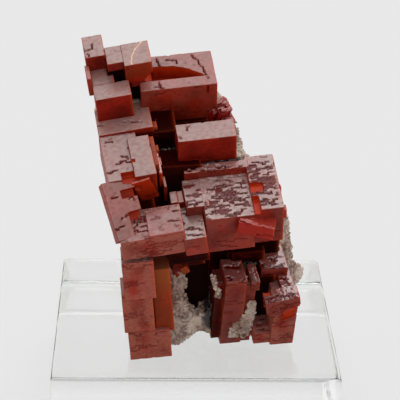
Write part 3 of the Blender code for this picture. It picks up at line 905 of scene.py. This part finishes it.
# Where the rock between the crystals and in the cavity is painted dark, as shade: the same terms,
# without a shape
PAINTED_SHADE_BOXES = [
    ("shoulder", -7.0, 2.5, 6.0, 15.0, 5.6, 18.0),
    ("middle", -7.0, 7.5, 6.0, 15.5, 5.0, 12.0),
    ("right_foot", -0.5, 2.5, 4.0, 9.0, 8.0, 8.0),
    ("world", 0.9, -14.0, 16.0, 4.0, 9.0, 14.0),
    ("cavity", -6.0, -4.0, 6.0, 9.0, 7.0, 6.0),
]
HOLLOW_ROUNDING = 0.9


def painted_shade_at(points):
    """1 where a place is within one of the painted-shade boxes, with a ragged border, else 0."""
    total = np.zeros(len(points))
    for family, left, front, top, *size in PAINTED_SHADE_BOXES:
        corner, axes = family_axes(family)
        middle = np.array((left, front, top)) + (size[0] / 2, size[1] / 2, -size[2] / 2)
        beyond = (np.abs((points - corner) @ axes - middle) - np.array(size) / 2).max(1)
        total = np.maximum(total, ramp(-beyond + 0.5 * noise(points / 1.1, 371), 0.0, 0.5))
    return total


def hollow(row, seed):
    """A lumpy box with rounded edges, to cut a hollow with."""
    family, left, front, top, *size = row
    size = np.array(size)
    places, faces = box_surface(size, 0.3, 0.3)
    core = np.clip(places, HOLLOW_ROUNDING, size - HOLLOW_ROUNDING)
    outward = places - core
    outward /= np.linalg.norm(outward, axis=1, keepdims=True)
    places = core + outward * HOLLOW_ROUNDING + (left, front, top - size[2])
    places += outward * (0.5 * noise(places / 1.6, seed) + 0.25 * noise(places / 0.5, seed + 1))[:, None]
    corner, axes = family_axes(family)
    places = places @ axes.T + corner
    # painted shade on hollow walls in the shaded boxes
    marks = {"crevice": np.full(len(places), 0.6), "stain": painted_shade_at(places)}
    return new_object(f"hollow{seed}", places, faces, marks, BARITE)


def matrix_piece():
    """The solid's skin, moved along its normals: swollen, plus lumps, plus a dome for each grain.

    A grain's dome is as high as its cell's border is far, the second nearest distance less the
    nearest. Points that stick out past the photograph's right outline are first pulled in."""
    points, normals, faces = skin_of("matrix", VOXEL_MM)
    points = points + normals * SWELL_MM
    lumps = noise(points / LUMP_MM, 301) * LUMP_HEIGHT_MM
    warped = points + 0.25 * np.stack([noise(points / 0.8, seed) for seed in (302, 303, 304)], 1)
    near, next_near = cells(warped / MATRIX_GRAIN_MM, 305)
    domes = (next_near - near).clip(0, 0.5) * 0.55
    fine = noise(points / 0.22, 306) * 0.04
    seen_height = points[:, 2] - BLOCK_TOP + SIGHT_SLOPE * (points[:, 1] + 2)
    limit = np.interp(seen_height, list(MATRIX_RIGHT), list(MATRIX_RIGHT.values()))
    points[:, 0] -= RIGHT_PULL * (points[:, 0] - limit).clip(0)
    points = points + normals * (lumps + domes + fine - 0.12)[:, None]
    points[:, 2] = np.maximum(points[:, 2], BLOCK_TOP + 0.02)
    # painted shade where the crust lies in the shaded boxes
    marks = {"crevice": 1 - ramp(next_near - near, 0.0, 0.25), "stain": painted_shade_at(points)}
    crust = new_object("matrix_crust.first", points, faces, marks, BARITE)
    hollows = [hollow(row, 320 + 3 * number) for number, row in enumerate(HOLLOWS)]
    carved = combined("matrix_crust", crust, hollows, "DIFFERENCE")
    carved.name = "matrix_crust"
    return carved


CRUST = finished(matrix_piece(), ["matrix"], sharp=55)

# %% [markdown]
# ## Loose grains and small fragments
# Thousands of small tabular grains sit on the crust, on the front of one crystal and in a bright slit
# beside the dark cavity, and make the sugary sparkle. Each of the three is one mesh of small closed
# boxes, each turned at random, with its corners pulled in or out so that no two are alike. A few
# larger fragments of crystal lie over the cavity.

# %% Grains and fragments
GRAIN_SIZES_MM = (0.22, 0.55)
CRUST_GRAINS, PATCH_GRAINS, SLIT_GRAINS = 5200, 420, 70
BOX_CORNERS = np.array(list(itertools.product((-0.5, 0.5), repeat=3)))
BOX_FACES = np.array([
    (0, 1, 3, 2), (4, 6, 7, 5), (0, 4, 5, 1),
    (2, 3, 7, 6), (0, 2, 6, 4), (1, 5, 7, 3),
])


def random_turns(random, count):
    """Random rotations, as 3 by 3 arrays, from normalised quaternions."""
    w, x, y, z = random.normal(size=(count, 4)).T
    length = np.sqrt(w * w + x * x + y * y + z * z)
    w, x, y, z = w / length, x / length, y / length, z / length
    rows = [
        [1 - 2 * (y * y + z * z), 2 * (x * y - w * z), 2 * (x * z + w * y)],
        [2 * (x * y + w * z), 1 - 2 * (x * x + z * z), 2 * (y * z - w * x)],
        [2 * (x * z - w * y), 2 * (y * z + w * x), 1 - 2 * (x * x + y * y)],
    ]
    return np.array(rows).transpose(2, 0, 1)


def grains(name, centres, seed, thickest=0.75, stained=True):
    """Small closed boxes at the centres, as one mesh: a length for each, times a share for each side."""
    random = np.random.default_rng(seed)
    count = len(centres)
    lengths = random.uniform(*GRAIN_SIZES_MM, (count, 1))
    sizes = lengths * random.uniform((0.7, 0.7, 0.3), (1.2, 1.0, thickest), (count, 3))
    corners = BOX_CORNERS * sizes[:, None] * random.uniform(0.8, 1.15, (count, 8, 1))
    points = np.einsum("nij,nkj->nki", random_turns(random, count), corners) + centres[:, None]
    faces = BOX_FACES + 8 * np.arange(count)[:, None, None]
    crevice = random.uniform(-0.8, 0.9, count)
    # painted shade on grains in the shaded boxes, left off when stained is False
    marks = {"crevice": np.repeat(crevice, 8), "stain": np.repeat(painted_shade_at(centres) * stained, 8)}
    return new_object(name, points.reshape(-1, 3), faces.reshape(-1, 4), marks, BARITE)


def spread_over_crust(count, seed):
    """Places on the crust, picked from its points, above the block and just under the surface."""
    mesh = CRUST.data
    points = np.zeros(len(mesh.vertices) * 3, np.float32)
    mesh.vertices.foreach_get("co", points)
    points = points.reshape(-1, 3) / MM
    points = points[points[:, 2] > BLOCK_TOP + 0.3]
    random = np.random.default_rng(seed)
    return points[random.integers(0, len(points), count)] + random.normal(0, 0.05, (count, 3))


def patch_places(count, seed):
    """Places on the front of the middle foot crystal: a patch that runs down to the left."""
    random = np.random.default_rng(seed)
    down = random.uniform(0, 1, count) ** 0.9
    left_end, right_end = 3.5 - 2.3 * ramp(down, 0.15, 0.9), 4.35 - 0.4 * down**2
    places = np.stack([
        random.uniform(left_end, right_end),
        0.1 - 0.35 * random.uniform(0, 1, count),
        -4.0 - 6.4 * down,
    ], 1)
    corner, axes = family_axes("right_foot")
    return places @ axes.T + corner


def slit_places(count, seed):
    """Places in the narrow bright slit beside the dark cavity, for pale grains that are painted light
    there.
    """
    random = np.random.default_rng(seed)
    down = random.uniform(0, 1, (count, 1))
    line = np.array((2.1, -12.2, 11.7)) + down * (0.9, 0.1, -3.1)
    return line + random.normal(0, (0.14, 0.2, 0.1), (count, 3)) + (0, 0, BLOCK_TOP)


finished(grains("matrix_grains", spread_over_crust(CRUST_GRAINS, 401), 402), (), sharp=30)
# painted light: pale grains, without painted shade, stand in for the light that shows in the slit
slit = grains("slit_grains", slit_places(SLIT_GRAINS, 405), 406, thickest=1.0, stained=False)
finished(slit, (), sharp=30)
patch = grains("grain_patch", patch_places(PATCH_GRAINS, 403), 404, thickest=1.0)
finished(patch, (), sharp=30)

# Fragments over the cavity, in the crystals' terms
FRAGMENTS = [
    ("cavity", -0.9, -2.6, 0.9, 1.7, 1.3, 1.2, "brown", -25),
    ("cavity", -0.3, -3.0, 0.0, 1.0, 1.2, 1.1, "orange", 30),
    ("cavity", -1.3, -2.4, -0.2, 0.8, 1.0, 1.6, "brown", 12),
    # painted shade: the dark fragments
    ("cavity", 0.6, -2.8, 1.4, 2.4, 1.2, 1.1, "dark", 6),
    ("cavity", -1.9, -3.4, 3.0, 5.4, 1.6, 1.9, "dark", 4),
    ("right_foot", 1.6, 3.9, 1.4, 4.4, 1.4, 3.0, "dark"),
    ("cavity", -2.2, -2.2, 1.9, 1.2, 1.0, 1.0, "brown", 20),
]
finished(grow("fragments_over_cavity", FRAGMENTS, seed=500), ())

# %% [markdown]
# ## The display block
# The block is cast acrylic, sawn and flame polished: it is see-through, with an index of 1.49, and
# its edges are slightly rounded, which draws the bright line along its front. Very fine saw lines
# are left on its sides, and they show as grey streaks where the sides are seen through the top.

# %% Acrylic block
ACRYLIC_IOR = 1.49
BLOCK_EDGE_MM = 0.45
BLOCK_GRID_MM = 2.0
SAW_MM, SAW_DEPTH_MM = 0.5, 0.05
SAW_STRETCH = (1.0, 1.0, 0.12)


def acrylic_material():
    """Plain transmission, with a faint bump that is drawn out from top to bottom."""
    made, tree, shader = new_material("Cast acrylic, polished", {
        "Base Color": linear("#fcfdfc"),
        "Transmission Weight": 1.0,
        "Roughness": 0.05,
        "IOR": ACRYLIC_IOR,
    })
    place = add(tree, "TexCoord").outputs["Object"]
    drawn = add(tree, "Mapping", {"Vector": place, "Scale": SAW_STRETCH}).outputs[0]
    saw = add(tree, "TexNoise", {"Vector": drawn, "Scale": per_metre(SAW_MM), "Detail": 3.0})
    fine = {"Height": saw.outputs["Fac"], "Strength": 0.12, "Distance": SAW_DEPTH_MM * MM}
    tree.links.new(add(tree, "Bump", fine).outputs[0], shader.inputs["Normal"])
    return made


def rounded_block():
    """The block's box, with each point pulled in to a smaller box and out again by the rounding."""
    size = block_high - block_low
    places, faces = box_surface(size, BLOCK_GRID_MM, BLOCK_EDGE_MM)
    local = places - size / 2
    core = np.clip(local, BLOCK_EDGE_MM - size / 2, size / 2 - BLOCK_EDGE_MM)
    outward = local - core
    outward /= np.linalg.norm(outward, axis=1, keepdims=True)
    points = core + outward * BLOCK_EDGE_MM + size / 2 + block_low
    return new_object("acrylic_block", points, faces, finish=acrylic_material())


finished(rounded_block(), ["display_block"], sharp=60)

# %% [markdown]
# ## Floor and light
# The photograph shows no shadow under its clear block, so the floor is a light table: opal acrylic
# that glows evenly. One large soft light above is what the tops mirror, and the fronts, which look
# down at the table and at each other, stay dark and saturated. Two weak lights, in front and at the
# left, open the deepest shade. The world is brightest at its horizon, because that is what the
# block's front face shows after one reflection inside.

# %% Floor
TABLE_GREY, TABLE_GLOW = "#6c6c6c", 0.63
FLOOR_RADIUS, FLOOR_DROP = 2500.0, 0.02
FLOOR_SIDES = 96

# A rough grey surface that also gives off an even white light
opal, _, _ = new_material("Opal acrylic light table", {
    "Base Color": linear(TABLE_GREY),
    "Roughness": 0.9,
    "Specular IOR Level": 0.1,
    "Emission Color": linear("#ffffff"),
    "Emission Strength": TABLE_GLOW,
})
angle = np.linspace(0, 2 * np.pi, FLOOR_SIDES, endpoint=False)
ring = np.stack([np.cos(angle), np.sin(angle), 0 * angle], 1) * FLOOR_RADIUS - (0, 0, FLOOR_DROP)
floor = new_object("floor", ring, np.arange(FLOOR_SIDES).reshape(1, -1), finish=opal)

# %% Light
MIDDLE = (0.0, 0.0, 0.03)


def soft_light(name, place, width, height, power):
    """A white rectangle of light, in metres and watts, turned to the middle of the object."""
    lamp = bpy.data.lights.new(name, "AREA")
    lamp.shape, lamp.size, lamp.size_y = "RECTANGLE", width, height
    lamp.energy = power
    made = bpy.data.objects.new(name, lamp)
    made.location = place
    made.rotation_euler = (Vector(MIDDLE) - Vector(place)).to_track_quat("-Z", "Y").to_euler()
    bpy.context.scene.collection.objects.link(made)


soft_light("overhead", (0.0, 0.1, 0.75), 0.75, 0.85, 4.0)
soft_light("front_fill", (0.05, -0.42, 0.52), 0.35, 0.3, 0.55)
soft_light("left_fill", (-0.7, -0.35, 0.45), 0.5, 0.5, 0.6)

# From how high a direction points, where 1 is straight up, to how bright the sky is there
SKY_ENDS = (0.42, 0.8, 0.96, 0.3)
world = bpy.data.worlds.new("studio")
world.use_nodes = True
sky = world.node_tree
sky.nodes["Background"].inputs["Color"].default_value = linear("#fafafa")
facing = add(sky, "SeparateXYZ", {0: add(sky, "TexCoord").outputs["Generated"]}).outputs["Z"]
sky_strength = add(sky, "MapRange", {"Value": facing, **dict(zip(ENDS, SKY_ENDS))}).outputs[0]
sky.links.new(sky_strength, sky.nodes["Background"].inputs["Strength"])
bpy.context.scene.world = world
bpy.context.scene.view_settings.view_transform = "Standard"
